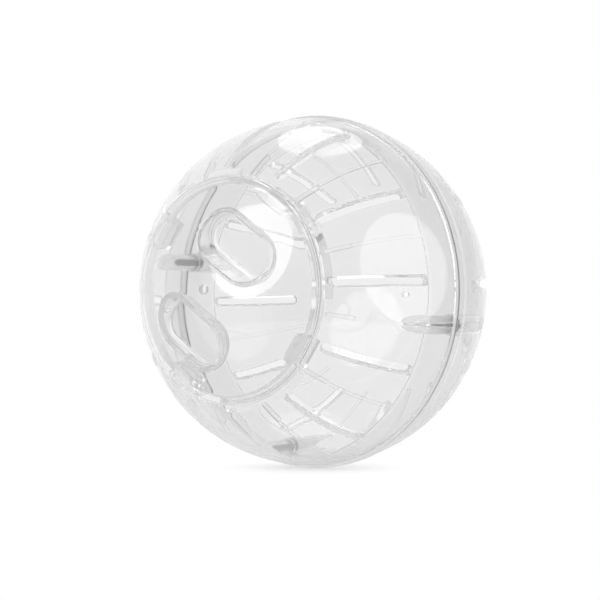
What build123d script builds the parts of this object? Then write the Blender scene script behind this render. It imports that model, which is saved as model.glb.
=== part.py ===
"""Clear exercise ball for a hamster: two half shells, a twist-in lid and four screws.

Millimetres. The origin is the ball's centre, the pole axis lies along Y with the lid facing -Y, and +Z is up.
Every piece is drawn pole-up, with the pole of its half along local Z, and placed by the frame of that half.
Angles round the pole axis run from +X towards +Z, seen from the lid's side.
"""

from build123d import *
import os
from math import acos, asin, atan2, cos, degrees, radians, sin, sqrt

# Ball shell
ball_diameter = 120.0
wall = 2.0

# Lap joint at the equator: the rear half's lip reaches over the front half's tongue
lap_depth = 2.3
lap_clearance = 0.1
lip_wall = 1.7
lip_proud = 0.8
lip_land = 1.5
lip_ramp = 3.0

# Belt of thicker wall on each side of the equator
belt_width = 14.0
belt_step = 0.4

# Vent slots, and the grip ridges midway between them on the inside, which stand higher as ribs at the opening
slot_count = 12
slot_width = 3.8
slot_inset = 0.8
slot_rim_gap = 3.7
slot_belt_gap = 1.6
slot_clock = 3.0
slot_edge_round = 0.3
ridge_width = 1.1
ridge_height = 0.5
rib_height = 1.6
rib_length = 10.5

# Axle holes at both poles
axle_hole_diameter = 3.2

# Screws, with their bosses and holes
screw_count = 4
screw_clock = -11.5
screw_inset = 4.0
screw_length = 14.0
thread_diameter = 2.6
thread_core_diameter = 1.9
thread_pitch = 1.0
thread_tip = 1.6
head_diameter = 4.0
head_height = 1.6
head_crown = 0.5
recess_span = 2.4
recess_width = 0.5
recess_depth = 0.8
head_seat = 2.0
front_boss_diameter = 6.1
rear_boss_diameter = 7.1
pilot_clearance = 0.05
shank_clearance = 0.2
head_clearance = 0.3
tip_clearance = 0.8

# Lid and its opening
opening_diameter = 74.8
lid_clearance = 0.3
seat_clearance = 0.2
seat_width = 2.9
edge_round = 0.4

# Bayonet: ledges in the opening and lugs on the lid, which stand in the gaps between the ledges
bayonet_count = 4
ledge_reach = 2.4
ledge_thickness = 1.7
ledge_start = -5.0
ledge_sweep = 51.0
lug_clock = 55.5
lug_width = 10.0
lug_stem = 2.4
lug_hook = 2.1
lug_thickness = 1.8
lug_clearance = 0.7
hook_clearance = 0.3

# Finger wells in the lid
well_count = 2
well_clock = 55.5
well_offset = 16.8
well_length = 29.0
well_width = 16.0
well_depth = 6.5
well_inset = 1.0
well_wall = 1.6
well_floor_round = 1.5
well_mouth_round = 0.8


def across(sphere_radius, along):
    """Radius of the circle that a sphere shows at a distance along the axis, or the other way round."""
    return sqrt(sphere_radius**2 - along**2)


def sphere_arc(sphere_radius, along):
    """Arc of a sphere's section from a distance along the axis up to the pole."""
    angle = degrees(asin(along / sphere_radius))
    return CenterArc((0, 0), sphere_radius, angle, 90 - angle)


# Radii of the ball and its seam
ball_radius = ball_diameter / 2
inner_radius = ball_radius - wall
belt_radius = inner_radius - belt_step
opening_radius = opening_diameter / 2
axle_hole_radius = axle_hole_diameter / 2
lip_outer_radius = ball_radius + lip_proud
lip_inner_radius = lip_outer_radius - lip_wall
tongue_radius = lip_inner_radius - lap_clearance

# Angles from the pole for the slots and ridges
rim_angle = degrees(asin(opening_radius / ball_radius))
belt_angle = degrees(acos(belt_width / ball_radius))
slot_end_angle = degrees(slot_width / 2 / ball_radius)
slot_first = rim_angle + degrees(slot_rim_gap / ball_radius) + slot_end_angle
slot_last = belt_angle - degrees(slot_belt_gap / ball_radius) - slot_end_angle
ridge_clock = slot_clock + 180 / slot_count

# Screws and bosses
screw_ring = ball_radius - screw_inset
thread_radius = thread_diameter / 2
head_radius = head_diameter / 2
front_boss_radius = front_boss_diameter / 2
rear_boss_radius = rear_boss_diameter / 2
pilot_depth = screw_length - head_seat + tip_clearance

# Heights above the equator for the lid, its seat and the bayonet
seat_height = across(inner_radius, opening_radius)
lid_radius = opening_radius - lid_clearance
lid_seat_height = seat_height + seat_clearance
seat_inner_radius = lid_radius - seat_width
ledge_radius = opening_radius - ledge_reach
ledge_bottom = seat_height - ledge_thickness
hook_top = ledge_bottom - hook_clearance
hook_bottom = hook_top - lug_thickness
stem_outer_radius = ledge_radius - lug_clearance
lug_inner_radius = stem_outer_radius - lug_stem
hook_outer_radius = stem_outer_radius + lug_hook
lug_top = across(inner_radius, lug_inner_radius) + wall / 2
well_floor_height = across(ball_radius, well_offset) - well_depth
well_draft = degrees(atan2(well_inset, well_depth))


def on_ball_face(edge):
    """True for an edge that lies in the ball's outer face."""
    return abs((edge @ 0.5).length - ball_radius) < wall / 1000


def from_pole(angle):
    """Direction from the ball's centre at an angle from the pole, towards X."""
    return Vector(sin(radians(angle)), 0, cos(radians(angle)))


# Frames of the two halves, each with local Z towards its own pole
front_frame = Plane.XZ
rear_frame = Plane((0, 0, 0), x_dir=(1, 0, 0), z_dir=(0, 1, 0))


# Solid inside the front half's outer face, stepped in at the equator for the tongue
with BuildPart() as front_form:
    with BuildSketch(Plane.XZ):
        with BuildLine():
            dome = sphere_arc(ball_radius, lap_depth)
            Polyline(dome @ 0, (tongue_radius, lap_depth), (tongue_radius, 0), (0, 0), dome @ 1)
        make_face()
    revolve(axis=Axis.Z)

# Solid inside the rear half's outer face, with the lip that reaches past the equator
lip_edge = lap_clearance - lap_depth
with BuildPart() as rear_form:
    with BuildSketch(Plane.XZ):
        with BuildLine():
            dome = sphere_arc(ball_radius, lip_land + lip_ramp)
            Polyline(
                dome @ 0,
                (lip_outer_radius, lip_land),
                (lip_outer_radius, lip_edge),
                (lip_inner_radius, lip_edge),
                (lip_inner_radius, 0),
                (0, 0),
                dome @ 1,
            )
        make_face()
    revolve(axis=Axis.Z)

# Hollow of either half, stepped in at the belt
with BuildPart() as hollow:
    with BuildSketch(Plane.XZ):
        with BuildLine():
            dome = sphere_arc(inner_radius, belt_width)
            belt_tilt = degrees(asin(belt_width / belt_radius))
            belt = CenterArc((0, 0), belt_radius, 0, belt_tilt)
            Line(belt @ 1, dome @ 0)
            Polyline(belt @ 0, (0, 0), dome @ 1)
        make_face()
    revolve(axis=Axis.Z)

# Cutter for one vent slot: a wedge along the meridian with conical ends, drafted to narrow inwards
cutter_bottom = inner_radius - wall / 2
cutter_top = ball_radius + wall / 2
slot_slope = slot_inset / wall
cutter_bottom_half = slot_width / 2 - slot_slope * (ball_radius - cutter_bottom)
cutter_top_half = slot_width / 2 + slot_slope * (cutter_top - ball_radius)
with BuildPart() as slot_cutter:
    outwards = from_pole(slot_first)
    with BuildSketch(Plane((0, 0, 0), x_dir=outwards, z_dir=outwards.cross(Vector(0, 1, 0)))):
        with BuildLine():
            Polyline(
                (cutter_bottom, -cutter_bottom_half),
                (cutter_top, -cutter_top_half),
                (cutter_top, cutter_top_half),
                (cutter_bottom, cutter_bottom_half),
                close=True,
            )
        make_face()
    revolve(axis=Axis.Y, revolution_arc=slot_last - slot_first)
    for angle in (slot_first, slot_last):
        with Locations(Plane(from_pole(angle) * cutter_bottom, z_dir=from_pole(angle))):
            Cone(
                cutter_bottom_half,
                cutter_top_half,
                cutter_top - cutter_bottom,
                align=(Align.CENTER, Align.CENTER, Align.MIN),
            )

# One grip ridge, rooted in the wall and running from the rim to the belt
ridge_first = degrees(asin(opening_radius / inner_radius))
with BuildPart() as ridge:
    with BuildSketch(Plane.XZ):
        with BuildLine():
            root = CenterArc((0, 0), ball_radius - wall / 2, 90 - belt_angle, belt_angle - ridge_first)
            crest = CenterArc((0, 0), inner_radius - ridge_height, 90 - belt_angle, belt_angle - ridge_first)
            Line(crest @ 0, root @ 0)
            Line(crest @ 1, root @ 1)
        make_face()
    extrude(amount=ridge_width / 2, both=True)

# One rib, the higher start of a front ridge, whose end keeps clear of the opening
rib_crest_radius = inner_radius - rib_height
rib_first = degrees(asin(opening_radius / rib_crest_radius))
rib_last = ridge_first + degrees(rib_length / inner_radius)
with BuildPart() as rib:
    with BuildSketch(Plane.XZ):
        with BuildLine():
            root = CenterArc((0, 0), ball_radius - wall / 2, 90 - rib_last, rib_last - ridge_first)
            crest = CenterArc((0, 0), rib_crest_radius, 90 - rib_last, rib_last - rib_first)
            Line(crest @ 0, root @ 0)
            Line(crest @ 1, root @ 1)
        make_face()
    extrude(amount=ridge_width / 2, both=True)

# Screw bosses, which run along the inside of the wall and end where it curves in over them
with BuildPart() as front_bosses:
    with PolarLocations(screw_ring, screw_count, screw_clock):
        Cylinder(
            front_boss_radius,
            across(ball_radius, screw_ring - front_boss_radius),
            align=(Align.CENTER, Align.CENTER, Align.MIN),
        )
    add(front_form.part, mode=Mode.INTERSECT)

rear_boss_height = across(ball_radius, screw_ring - rear_boss_radius)
with BuildPart() as rear_bosses:
    with PolarLocations(screw_ring, screw_count, -screw_clock):
        Cylinder(rear_boss_radius, rear_boss_height, align=(Align.CENTER, Align.CENTER, Align.MIN))
    add(rear_form.part, mode=Mode.INTERSECT)

# One bayonet ledge, an arc under the rim of the opening
with BuildPart() as ledge:
    with BuildSketch(Plane.XZ):
        with Locations((ledge_radius, ledge_bottom)):
            Rectangle(ledge_reach + 2 * wall, ledge_thickness, align=Align.MIN)
    revolve(axis=Axis.Z, revolution_arc=ledge_sweep)
    add(front_form.part, mode=Mode.INTERSECT)

# Front half: round opening with its ledges, slots, ridges, ribs and blind bosses for the screws
with BuildPart(front_frame) as front_half_shell:
    add(front_form.part)
    add(hollow.part, mode=Mode.SUBTRACT)
    with PolarLocations(0, slot_count, ridge_clock):
        add(ridge.part)
        add(rib.part)
    add(front_bosses.part)
    with Locations((0, 0, seat_height)):
        Cylinder(opening_radius, ball_radius, align=(Align.CENTER, Align.CENTER, Align.MIN), mode=Mode.SUBTRACT)
    fillet(front_half_shell.edges().group_by(Axis.Y)[0], edge_round)
    with PolarLocations(0, bayonet_count, ledge_start):
        add(ledge.part)
    with PolarLocations(0, slot_count, slot_clock):
        add(slot_cutter.part, mode=Mode.SUBTRACT)
    slot_mouths = front_half_shell.edges(Select.LAST).filter_by(on_ball_face)
    fillet(slot_mouths, slot_edge_round)
    with PolarLocations(screw_ring, screw_count, screw_clock):
        Cylinder(
            thread_radius + pilot_clearance,
            pilot_depth,
            align=(Align.CENTER, Align.CENTER, Align.MIN),
            mode=Mode.SUBTRACT,
        )

# Rear half: slots, ridges, the axle hole and bosses counterbored from outside for the screw heads
with BuildPart(rear_frame) as rear_half_shell:
    add(rear_form.part)
    add(hollow.part, mode=Mode.SUBTRACT)
    with PolarLocations(0, slot_count, -ridge_clock):
        add(ridge.part)
    add(rear_bosses.part)
    with PolarLocations(0, slot_count, -slot_clock):
        add(slot_cutter.part, mode=Mode.SUBTRACT)
    slot_mouths = rear_half_shell.edges(Select.LAST).filter_by(on_ball_face)
    fillet(slot_mouths, slot_edge_round)
    with Locations((0, 0, ball_radius)):
        Hole(axle_hole_radius, depth=2 * wall)
    with Locations((0, 0, rear_boss_height)):
        with PolarLocations(screw_ring, screw_count, -screw_clock):
            CounterBoreHole(
                thread_radius + shank_clearance,
                head_radius + head_clearance,
                rear_boss_height - head_seat,
                depth=rear_boss_height,
            )

# Solid under the lid's outer face
lid_rim_height = across(ball_radius, lid_radius)
with BuildPart() as lid_form:
    with BuildSketch(Plane.XZ):
        with BuildLine():
            dome = sphere_arc(ball_radius, lid_rim_height)
            Polyline(dome @ 0, (lid_radius, 0), (0, 0), dome @ 1)
        make_face()
    revolve(axis=Axis.Z)
    rim = lid_form.edges().filter_by_position(Axis.Z, lid_rim_height - edge_round, lid_rim_height + edge_round)
    fillet(rim, edge_round)

# Lid's wall: the dome, and the flat seat ring round its underside
with BuildPart() as lid_skin:
    add(lid_form.part)
    with BuildSketch(Plane.XZ):
        with BuildLine():
            dome = sphere_arc(inner_radius, across(inner_radius, seat_inner_radius))
            Polyline(
                dome @ 0,
                (seat_inner_radius, lid_seat_height),
                (ball_radius, lid_seat_height),
                (ball_radius, 0),
                (0, 0),
                dome @ 1,
            )
        make_face()
    revolve(axis=Axis.Z, mode=Mode.SUBTRACT)

# Bayonet lugs: a stem inside the ledges and a hook that turns in under them
with BuildPart() as lug:
    with BuildSketch(Plane.XZ):
        with BuildLine():
            Polyline(
                (lug_inner_radius, lug_top),
                (stem_outer_radius, lug_top),
                (stem_outer_radius, hook_top),
                (hook_outer_radius, hook_top),
                (hook_outer_radius, hook_bottom),
                (lug_inner_radius, hook_bottom),
                close=True,
            )
        make_face()
    extrude(amount=lug_width / 2, both=True)

with BuildPart() as lugs:
    with PolarLocations(0, bayonet_count, lug_clock):
        add(lug.part)
    add(lid_form.part, mode=Mode.INTERSECT)

# Finger wells: the outside of the cups, and the space inside one of them
floor_length = well_length - 2 * well_inset
floor_width = well_width - 2 * well_inset
well_height = ball_radius - well_floor_height
with BuildPart() as cup:
    with BuildSketch(Plane.XY.offset(well_floor_height - well_wall)):
        SlotOverall(floor_length + 2 * well_wall, floor_width + 2 * well_wall, rotation=90)
    extrude(amount=well_height + well_wall, taper=-well_draft)
    fillet(cup.faces().sort_by(Axis.Z)[0].edges(), well_floor_round + well_wall)

with BuildPart() as cups:
    with PolarLocations(well_offset, well_count, well_clock):
        add(cup.part)
    add(lid_form.part, mode=Mode.INTERSECT)

with BuildPart() as well:
    with BuildSketch(Plane.XY.offset(well_floor_height)):
        SlotOverall(floor_length, floor_width, rotation=90)
    extrude(amount=well_height, taper=-well_draft)
    fillet(well.faces().sort_by(Axis.Z)[0].edges(), well_floor_round)


# Lid: domed to the ball's outer face, with its finger wells, lugs and axle hole
with BuildPart(front_frame) as lid:
    add(lid_skin.part)
    add(cups.part)
    add(lugs.part)
    with PolarLocations(well_offset, well_count, well_clock):
        add(well.part, mode=Mode.SUBTRACT)
    mouth = lid.edges(Select.LAST).filter_by(on_ball_face)
    fillet(mouth, well_mouth_round)
    with Locations((0, 0, ball_radius)):
        Hole(axle_hole_radius, depth=2 * wall)

# Screw: domed head with a cross recess, ringed thread and a point towards the front pole
head_top = -head_seat - head_height
thread_turns = int((screw_length - thread_tip) / thread_pitch)
thread_end = thread_turns * thread_pitch - head_seat
thread_points = []
for turn in range(thread_turns):
    root = turn * thread_pitch - head_seat
    thread_points.append((thread_core_diameter / 2, root))
    thread_points.append((thread_radius, root + thread_pitch / 2))
with BuildPart() as screw:
    with BuildSketch(Plane.XZ):
        with BuildLine():
            crown = TangentArc((0, head_top), (head_radius, head_top + head_crown), tangent=(1, 0))
            Polyline(
                crown @ 1,
                (head_radius, -head_seat),
                *thread_points,
                (thread_core_diameter / 2, thread_end),
                (0, screw_length - head_seat),
                crown @ 0,
            )
        make_face()
    revolve(axis=Axis.Z)
    with BuildSketch(Plane.XY.offset(head_top)):
        Rectangle(recess_span, recess_width)
        Rectangle(recess_width, recess_span)
    extrude(amount=recess_depth, mode=Mode.SUBTRACT)

# The four screws, put in from the rear half
with BuildPart(front_frame) as assembly_screws:
    with PolarLocations(screw_ring, screw_count, screw_clock):
        add(screw.part)

os.makedirs("parts", exist_ok=True)
front_half_shell.part.label = "front_half_shell"
export_step(front_half_shell.part, "parts/front_half_shell.step")
rear_half_shell.part.label = "rear_half_shell"
export_step(rear_half_shell.part, "parts/rear_half_shell.step")
lid.part.label = "lid"
export_step(lid.part, "parts/lid.step")
assembly_screws.part.label = "assembly_screws"
export_step(assembly_screws.part, "parts/assembly_screws.step")
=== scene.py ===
"""Looks of a clear hamster ball: two half shells, a lift-off lid and four screws, on a white studio floor."""

from math import cos, pi, radians, sin

import bpy
from bpy.props import FloatProperty, FloatVectorProperty, PointerProperty
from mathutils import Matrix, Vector


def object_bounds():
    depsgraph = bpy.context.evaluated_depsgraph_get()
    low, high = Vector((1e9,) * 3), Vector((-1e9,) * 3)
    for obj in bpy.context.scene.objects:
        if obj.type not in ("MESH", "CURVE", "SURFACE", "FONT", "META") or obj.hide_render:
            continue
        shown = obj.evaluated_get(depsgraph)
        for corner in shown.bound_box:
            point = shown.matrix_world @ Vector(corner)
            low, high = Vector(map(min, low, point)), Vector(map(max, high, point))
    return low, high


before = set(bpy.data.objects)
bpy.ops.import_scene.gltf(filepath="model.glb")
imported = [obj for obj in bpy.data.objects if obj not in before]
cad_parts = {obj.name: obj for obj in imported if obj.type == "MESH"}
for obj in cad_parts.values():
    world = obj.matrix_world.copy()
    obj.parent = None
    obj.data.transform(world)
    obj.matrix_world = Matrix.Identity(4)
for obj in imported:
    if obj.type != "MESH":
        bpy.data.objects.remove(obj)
cad_box = [list(corner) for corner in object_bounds()]

bl_info = {
    "name": "Hamster Ball",
    "version": (1, 0, 0),
    "blender": (4, 5, 0),
    "location": "View3D > Sidebar > Hamster Ball",
    "description": "Finishes the packed ball in clear plastic and plated steel and sets it on a white floor",
    "category": "Object",
}

MM = 0.001

# Soft boxes: degrees to the camera's right and up as seen from the ball, size in metres, and radiance
SOFT_BOXES = {
    "soft_box_right": {"side": 64.0, "rise": 13.0, "width": 1.15, "height": 1.05, "radiance": 1.55},
    "soft_box_left": {"side": -44.0, "rise": 24.7, "width": 0.92, "height": 0.97, "radiance": 2.9},
    "soft_box_over": {"side": -5.0, "rise": 116.0, "width": 0.45, "height": 0.65, "radiance": 1.5},
}
SOFT_BOX_REACH = 0.9

# Cosines of the angle off the backdrop's middle at which its white is gone and is full
BACKDROP_NONE = -0.1
BACKDROP_FULL = 0.9

# Floor disc just under the ball, and the camera
FLOOR_SIDES = 96
FLOOR_GAP = 0.05 * MM
SENSOR_WIDTH = 36.0
NEAREST_SEEN = 10 * MM

# Light crosses the clear walls many times on its way
CLEAR_BOUNCES = 64
MATT_BOUNCES = 32

# Real spacings of the finishes' patterns
BELT_EDGE = 0.4 * MM
SCUFF_SPACING = 9 * MM
WAVE_LENGTH = 25 * MM
WAVE_HEIGHT = 0.2 * MM
ZINC_GRAIN = 0.6 * MM

# Share of the scuffs' noise at which a patch starts to dull and is dullest
SCUFF_START = 0.4
SCUFF_FULL = 0.75

# Zinc plating: tone of its darkest crystals as a share of the brightest, and roughness from bright to dull
ZINC_DARK = 0.6
ZINC_BRIGHT_ROUGHNESS = 0.2
ZINC_DULL_ROUGHNESS = 0.45

WHITE = (1.0, 1.0, 1.0, 1.0)
BLACK = (0.0, 0.0, 0.0, 1.0)


def linear(code):
    """Turn an sRGB hex colour into linear red, green and blue."""
    channels = (int(code[i : i + 2], 16) / 255 for i in (1, 3, 5))
    return tuple(c / 12.92 if c <= 0.04045 else ((c + 0.055) / 1.055) ** 2.4 for c in channels)


def add_node(tree, kind, inputs=None, **settings):
    """Add a node, set its properties, and fill its inputs with values or with other nodes' outputs."""
    new = tree.nodes.new(kind)
    for name, value in settings.items():
        setattr(new, name, value)
    for name, value in (inputs or {}).items():
        if isinstance(value, bpy.types.NodeSocket):
            tree.links.new(value, new.inputs[name])
        else:
            new.inputs[name].default_value = value
    return new


def empty_material(name):
    """A new material with nothing in its node tree."""
    material = bpy.data.materials.new(name)
    material.use_nodes = True
    material.node_tree.nodes.clear()
    return material


def plastic_colour_with_belt_shade(tree, place, finish):
    """The plastic's colour, with painted shade in the belt on each side of the equator: the belt is tinted a
    little greyer to stand in for the darker look of the thicker belt.
    """
    along = add_node(tree, "ShaderNodeSeparateXYZ", {"Vector": place})
    off = add_node(tree, "ShaderNodeMath", {0: along.outputs["Y"]}, operation="ABSOLUTE")
    inner, outer = finish.belt_reach, finish.belt_reach + BELT_EDGE
    belt = add_node(
        tree,
        "ShaderNodeMapRange",
        {"Value": off.outputs["Value"], "From Min": inner, "From Max": outer, "To Min": 0.0, "To Max": 1.0},
    )
    # Painted shade: the belt's faces are tinted greyer than the rest of the plastic
    tone = add_node(tree, "ShaderNodeValToRGB", {"Fac": belt.outputs["Result"]})
    tone.color_ramp.elements[0].color = (*finish.belt_shade_colour, 1.0)
    tone.color_ramp.elements[1].color = (*finish.plastic_colour, 1.0)
    return tone.outputs["Color"]


def clear_polystyrene(name, finish, density, level):
    """Clear polystyrene, injection moulded in a polished tool, so smooth that it only shows at its edges."""
    material = empty_material(name)
    tree = material.node_tree
    place = add_node(tree, "ShaderNodeTexCoord").outputs["Object"]
    # Handling leaves fine scuffs a few millimetres apart, which dull the gloss in patches
    scuffs = add_node(
        tree,
        "ShaderNodeTexNoise",
        {"Vector": place, "Scale": 1 / SCUFF_SPACING, "Detail": 4.0},
    )
    rough = add_node(
        tree,
        "ShaderNodeMapRange",
        {
            "Value": scuffs.outputs["Fac"],
            "From Min": SCUFF_START,
            "From Max": SCUFF_FULL,
            "To Max": finish.scuff,
        },
    )
    # The melt's flow leaves waves some 25 mm long, which bend the reflections a little
    waves = add_node(tree, "ShaderNodeTexNoise", {"Vector": place, "Scale": 1 / WAVE_LENGTH, "Detail": 1.0})
    bump = add_node(
        tree,
        "ShaderNodeBump",
        {"Height": waves.outputs["Fac"], "Strength": finish.wave, "Distance": WAVE_HEIGHT},
    )
    plastic = add_node(
        tree,
        "ShaderNodeBsdfPrincipled",
        {
            "Base Color": plastic_colour_with_belt_shade(tree, place, finish),
            "Roughness": rough.outputs["Result"],
            "IOR": finish.plastic_ior,
            "Transmission Weight": 1.0 - finish.haze,
            "Alpha": finish.bent_share,
            "Normal": bump.outputs["Normal"],
        },
    )
    # Stand-in for light that runs along inside the walls: it tends to a set grey instead of going black
    taken = add_node(
        tree,
        "ShaderNodeVolumeAbsorption",
        {"Color": BLACK, "Density": density},
    )
    given = add_node(tree, "ShaderNodeEmission", {"Strength": density * level})
    inside = add_node(tree, "ShaderNodeAddShader", {0: taken.outputs["Volume"], 1: given.outputs["Emission"]})
    add_node(
        tree,
        "ShaderNodeOutputMaterial",
        {"Surface": plastic.outputs["BSDF"], "Volume": inside.outputs["Shader"]},
    )
    return material


def plated_steel(finish):
    """Steel wire, cold headed and thread rolled, then zinc plated."""
    material = empty_material("Zinc-plated steel, cold headed")
    tree = material.node_tree
    place = add_node(tree, "ShaderNodeTexCoord").outputs["Object"]
    # The plating is a patchwork of bright and dull crystals under a millimetre across
    grain = add_node(tree, "ShaderNodeTexNoise", {"Vector": place, "Scale": 1 / ZINC_GRAIN, "Detail": 5.0})
    tone = add_node(tree, "ShaderNodeValToRGB", {"Fac": grain.outputs["Fac"]})
    tone.color_ramp.elements[0].color = (*[ZINC_DARK * c for c in finish.steel_colour], 1.0)
    tone.color_ramp.elements[1].color = (*finish.steel_colour, 1.0)
    rough = add_node(
        tree,
        "ShaderNodeMapRange",
        {
            "Value": grain.outputs["Fac"],
            "To Min": ZINC_BRIGHT_ROUGHNESS,
            "To Max": ZINC_DULL_ROUGHNESS,
        },
    )
    steel = add_node(
        tree,
        "ShaderNodeBsdfPrincipled",
        {"Base Color": tone.outputs["Color"], "Metallic": 1.0, "Roughness": rough.outputs["Result"]},
    )
    add_node(tree, "ShaderNodeOutputMaterial", {"Surface": steel.outputs["BSDF"]})
    return material


def dress(node, material):
    """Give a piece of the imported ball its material."""
    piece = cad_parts[node]
    piece.data.materials.clear()
    piece.data.materials.append(material)


class HamsterBallFinish(bpy.types.PropertyGroup):
    """Finishes of the ball."""

    plastic_colour: FloatVectorProperty(
        name="Plastic",
        description="Tint of the clear plastic's faces",
        subtype="COLOR",
        default=linear("#FAFAFA"),
    )
    # Painted shade: the belt is tinted greyer to stand in for the darker look of its thicker wall
    belt_shade_colour: FloatVectorProperty(
        name="Belt",
        description="Tint of the thicker belt's faces",
        subtype="COLOR",
        default=linear("#EFEFEF"),
    )
    belt_reach: FloatProperty(
        name="Belt reach",
        description="From the equator to the belt's edge",
        subtype="DISTANCE",
        unit="LENGTH",
        default=14.0 * MM,
    )
    plastic_ior: FloatProperty(
        name="Plastic IOR",
        description="Refractive index of the clear plastic",
        default=1.5,
    )
    bent_share: FloatProperty(
        name="Bent share",
        description="Share of the light that a face bends, the rest going straight on",
        subtype="FACTOR",
        default=0.985,
    )
    haze: FloatProperty(
        name="Haze",
        description="Share of the light that the plastic's skin scatters",
        subtype="FACTOR",
        default=0.025,
    )
    scuff: FloatProperty(
        name="Scuffs",
        description="Roughness of the dullest patches",
        subtype="FACTOR",
        default=0.06,
    )
    wave: FloatProperty(
        name="Flow waves",
        description="Strength of the waves in the faces",
        subtype="FACTOR",
        default=0.04,
    )
    shell_density: FloatProperty(
        name="Shell density",
        description="Share of the light that the half shells' depth takes and gives, per metre",
        default=90.0,
    )
    shell_level: FloatProperty(
        name="Shell level",
        description="Brightness that light in the half shells tends to",
        subtype="FACTOR",
        default=0.765,
    )
    lid_density: FloatProperty(
        name="Lid density",
        description="Share of the light that the lid's depth takes and gives, per metre",
        default=60.0,
    )
    lid_level: FloatProperty(
        name="Lid level",
        description="Brightness that light in the lid tends to",
        subtype="FACTOR",
        default=0.56,
    )
    steel_colour: FloatVectorProperty(
        name="Steel",
        description="Brightest tone of the plated screws",
        subtype="COLOR",
        default=linear("#646464"),
    )


class HamsterBallStage(bpy.types.PropertyGroup):
    """Camera, floor and room."""

    azimuth: FloatProperty(
        name="Azimuth",
        description="Camera angle round the ball from the lid's pole",
        subtype="ANGLE",
        default=radians(36.36),
    )
    elevation: FloatProperty(
        name="Elevation",
        description="Camera angle above the ball's centre",
        subtype="ANGLE",
        default=radians(-0.9),
    )
    distance: FloatProperty(
        name="Distance",
        description="From the camera to the ball's centre",
        subtype="DISTANCE",
        unit="LENGTH",
        default=0.684,
    )
    lens: FloatProperty(
        name="Lens",
        description="Focal length on a 36 mm sensor, in millimetres",
        default=118.5,
    )
    aim_left: FloatProperty(
        name="Aim left",
        description="How far the camera aims to the left of the ball's centre",
        subtype="DISTANCE",
        unit="LENGTH",
        default=4.433 * MM,
    )
    aim_down: FloatProperty(
        name="Aim down",
        description="How far the camera aims below the ball's centre",
        subtype="DISTANCE",
        unit="LENGTH",
        default=2.84 * MM,
    )
    floor_colour: FloatVectorProperty(
        name="Floor",
        description="Colour of the studio floor",
        subtype="COLOR",
        default=linear("#FFFFFF"),
    )
    floor_radius: FloatProperty(
        name="Floor radius",
        description="Radius of the round floor",
        subtype="DISTANCE",
        unit="LENGTH",
        default=0.2,
    )
    shadow_reach: FloatProperty(
        name="Shadow reach",
        description="How far the ball's shadow reaches on the floor",
        subtype="DISTANCE",
        unit="LENGTH",
        default=0.036,
    )
    shadow_depth: FloatProperty(
        name="Shadow depth",
        description="Share of the floor's light that the ball may shade",
        subtype="FACTOR",
        default=0.45,
    )
    backdrop: FloatProperty(
        name="Backdrop",
        description="Angle round the ball at which the white backdrop stands",
        subtype="ANGLE",
        default=radians(61.0),
    )
    room_level: FloatProperty(
        name="Room",
        description="Brightness of the room on the camera's side, in reflections",
        subtype="FACTOR",
        default=0.3,
    )
    floor_level: FloatProperty(
        name="Floor level",
        description="Brightness of the floor in reflections",
        subtype="FACTOR",
        default=0.8,
    )


class HAMSTERBALL_OT_half_shells(bpy.types.Operator):
    """Finish the front and rear half shells in clear polystyrene"""

    bl_idname = "hamster_ball.half_shells"
    bl_label = "Half Shells"

    def execute(self, context):
        finish = context.scene.hamster_ball_finish
        material = clear_polystyrene(
            "Clear polystyrene, injection moulded, half shells",
            finish,
            finish.shell_density,
            finish.shell_level,
        )
        for node in ("front_half_shell", "rear_half_shell"):
            dress(node, material)
        return {"FINISHED"}


class HAMSTERBALL_OT_lid(bpy.types.Operator):
    """Finish the lid in clear polystyrene, with the light painted into its depth set a little dimmer, so it
    is greyer there
    """

    bl_idname = "hamster_ball.lid"
    bl_label = "Lid"

    def execute(self, context):
        finish = context.scene.hamster_ball_finish
        material = clear_polystyrene(
            "Clear polystyrene, injection moulded, lid", finish, finish.lid_density, finish.lid_level
        )
        dress("lid", material)
        return {"FINISHED"}


class HAMSTERBALL_OT_screws(bpy.types.Operator):
    """Finish the assembly screws in plated steel"""

    bl_idname = "hamster_ball.screws"
    bl_label = "Screws"

    def execute(self, context):
        dress("assembly_screws", plated_steel(context.scene.hamster_ball_finish))
        return {"FINISHED"}


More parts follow.
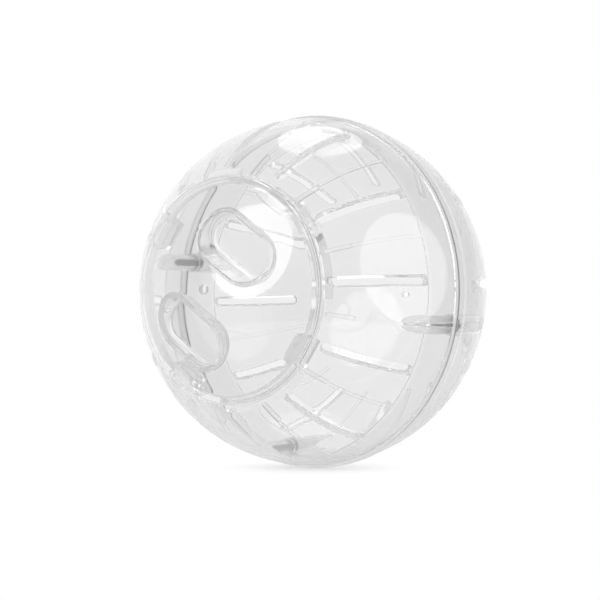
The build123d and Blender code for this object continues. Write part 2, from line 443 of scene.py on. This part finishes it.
class HAMSTERBALL_OT_stage(bpy.types.Operator):
    """Set up the floor, the studio light and the camera"""

    bl_idname = "hamster_ball.stage"
    bl_label = "Stage"

    def execute(self, context):
        stage = context.scene.hamster_ball_stage
        self.floor(context, stage)
        self.world(context, stage)
        axes = self.camera(context, stage)
        self.lamps(context, axes)
        context.scene.view_settings.view_transform = "Standard"
        cycles = context.scene.cycles
        cycles.max_bounces = CLEAR_BOUNCES
        cycles.transmission_bounces = CLEAR_BOUNCES
        cycles.glossy_bounces = CLEAR_BOUNCES
        cycles.diffuse_bounces = MATT_BOUNCES
        cycles.transparent_max_bounces = CLEAR_BOUNCES
        return {"FINISHED"}

    def turned(self, tree):
        """One where light was mirrored or scattered on its way, nought where it came straight or through."""
        path = add_node(tree, "ShaderNodeLightPath")
        return add_node(
            tree,
            "ShaderNodeMath",
            {0: path.outputs["Glossy Depth"], 1: path.outputs["Diffuse Depth"]},
            operation="ADD",
            use_clamp=True,
        ).outputs["Value"]

    def floor(self, context, stage):
        """A round white floor that the ball stands on, its rim lost in the white around it."""
        height = cad_box[0][2] - FLOOR_GAP
        turns = [2 * pi * i / FLOOR_SIDES for i in range(FLOOR_SIDES)]
        rim = [(stage.floor_radius * cos(t), stage.floor_radius * sin(t), height) for t in turns]
        mesh = bpy.data.meshes.new("floor")
        mesh.from_pydata(rim, [], [range(FLOOR_SIDES)])
        floor = bpy.data.objects.new("floor", mesh)
        context.scene.collection.objects.link(floor)
        material = empty_material("White studio floor, matt painted")
        tree = material.node_tree
        place = add_node(tree, "ShaderNodeTexCoord").outputs["Object"]
        flat = add_node(tree, "ShaderNodeVectorMath", {0: place, 1: (1.0, 1.0, 0.0)}, operation="MULTIPLY")
        reach = add_node(tree, "ShaderNodeVectorMath", {0: flat.outputs["Vector"]}, operation="LENGTH")
        # Matt where the ball stands, so that it has a shadow, and lit up to white all round
        lit = add_node(
            tree,
            "ShaderNodeMapRange",
            {
                "Value": reach.outputs["Value"],
                "From Min": 0.0,
                "From Max": stage.shadow_reach,
                "To Min": 1.0 - stage.shadow_depth,
                "To Max": 1.0,
            },
            interpolation_type="SMOOTHSTEP",
        )
        level = add_node(
            tree,
            "ShaderNodeMapRange",
            {"Value": self.turned(tree), "To Min": 1.0, "To Max": stage.floor_level},
        )
        matt = add_node(tree, "ShaderNodeBsdfDiffuse", {"Color": (*stage.floor_colour, 1.0)})
        glow = add_node(
            tree,
            "ShaderNodeEmission",
            {"Color": (*stage.floor_colour, 1.0), "Strength": level.outputs["Result"]},
        )
        both = add_node(
            tree,
            "ShaderNodeMixShader",
            {0: lit.outputs["Result"], 1: matt.outputs["BSDF"], 2: glow.outputs["Emission"]},
        )
        add_node(tree, "ShaderNodeOutputMaterial", {"Surface": both.outputs["Shader"]})
        mesh.materials.append(material)

    def world(self, context, stage):
        """White where it is seen straight or through; where mirrored, a white backdrop and a dimmer room."""
        world = bpy.data.worlds.new("Studio")
        context.scene.world = world
        world.use_nodes = True
        tree = world.node_tree
        tree.nodes.clear()
        direction = add_node(tree, "ShaderNodeTexCoord").outputs["Generated"]
        behind = add_node(
            tree,
            "ShaderNodeVectorMath",
            {0: direction, 1: (-sin(stage.backdrop), cos(stage.backdrop), 0.0)},
            operation="DOT_PRODUCT",
        )
        studio = add_node(
            tree,
            "ShaderNodeMapRange",
            {
                "Value": behind.outputs["Value"],
                "From Min": BACKDROP_NONE,
                "From Max": BACKDROP_FULL,
                "To Min": stage.room_level,
                "To Max": 1.0,
            },
            interpolation_type="SMOOTHSTEP",
        )
        white = add_node(tree, "ShaderNodeBackground", {"Color": WHITE, "Strength": 1.0})
        mirrored = add_node(
            tree,
            "ShaderNodeBackground",
            {"Color": WHITE, "Strength": studio.outputs["Result"]},
        )
        both = add_node(
            tree,
            "ShaderNodeMixShader",
            {0: self.turned(tree), 1: white.outputs["Background"], 2: mirrored.outputs["Background"]},
        )
        add_node(tree, "ShaderNodeOutputWorld", {"Surface": both.outputs["Shader"]})

    def camera(self, context, stage):
        """A camera almost level with the ball's centre, to the right of the lid; gives back its axes."""
        level = Vector((sin(stage.azimuth), -cos(stage.azimuth), 0.0))
        away = level * cos(stage.elevation) + Vector((0.0, 0.0, sin(stage.elevation)))
        right = Vector((cos(stage.azimuth), sin(stage.azimuth), 0.0))
        up = away.cross(right)
        camera = bpy.data.objects.new("camera", bpy.data.cameras.new("camera"))
        camera.data.lens = stage.lens
        camera.data.sensor_width = SENSOR_WIDTH
        camera.data.clip_start = NEAREST_SEEN
        camera.location = away * stage.distance
        target = -right * stage.aim_left - up * stage.aim_down
        camera.rotation_euler = (target - camera.location).to_track_quat("-Z", "Y").to_euler()
        context.scene.collection.objects.link(camera)
        context.scene.camera = camera
        return away, right, up

    def lamps(self, context, axes):
        """Two round soft boxes in front of the ball and one over it."""
        away, right, up = axes
        for name, box in SOFT_BOXES.items():
            side = radians(box["side"])
            rise = radians(box["rise"])
            level = away * cos(side) + right * sin(side)
            towards = level * cos(rise) + up * sin(rise)
            light = bpy.data.lights.new(name, "AREA")
            light.shape = "ELLIPSE"
            light.size = box["width"]
            light.size_y = box["height"]
            # Power that gives the elliptical face its radiance
            face = pi / 4 * box["width"] * box["height"]
            light.energy = box["radiance"] * pi * face
            lamp = bpy.data.objects.new(name, light)
            lamp.location = towards * SOFT_BOX_REACH
            lamp.rotation_euler = (-towards).to_track_quat("-Z", "Y").to_euler()
            context.scene.collection.objects.link(lamp)


class HAMSTERBALL_PT_panel(bpy.types.Panel):
    """Lists the ball's pieces, finishes and stage"""

    bl_label = "Hamster Ball"
    bl_idname = "HAMSTERBALL_PT_panel"
    bl_space_type = "VIEW_3D"
    bl_region_type = "UI"
    bl_category = "Hamster Ball"

    def draw(self, context):
        for operator in OPERATORS:
            self.layout.operator(operator.bl_idname)
        for group in (context.scene.hamster_ball_finish, context.scene.hamster_ball_stage):
            column = self.layout.column()
            for name in group.__annotations__:
                column.prop(group, name)


OPERATORS = (
    HAMSTERBALL_OT_half_shells,
    HAMSTERBALL_OT_lid,
    HAMSTERBALL_OT_screws,
    HAMSTERBALL_OT_stage,
)
CLASSES = (HamsterBallFinish, HamsterBallStage, *OPERATORS, HAMSTERBALL_PT_panel)


def register():
    for cls in CLASSES:
        bpy.utils.register_class(cls)
    bpy.types.Scene.hamster_ball_finish = PointerProperty(type=HamsterBallFinish)
    bpy.types.Scene.hamster_ball_stage = PointerProperty(type=HamsterBallStage)


def unregister():
    del bpy.types.Scene.hamster_ball_stage
    del bpy.types.Scene.hamster_ball_finish
    for cls in reversed(CLASSES):
        bpy.utils.unregister_class(cls)


def main():
    register()
    bpy.ops.hamster_ball.half_shells()
    bpy.ops.hamster_ball.lid()
    bpy.ops.hamster_ball.screws()
    bpy.ops.hamster_ball.stage()


if __name__ == "__main__":
    main()
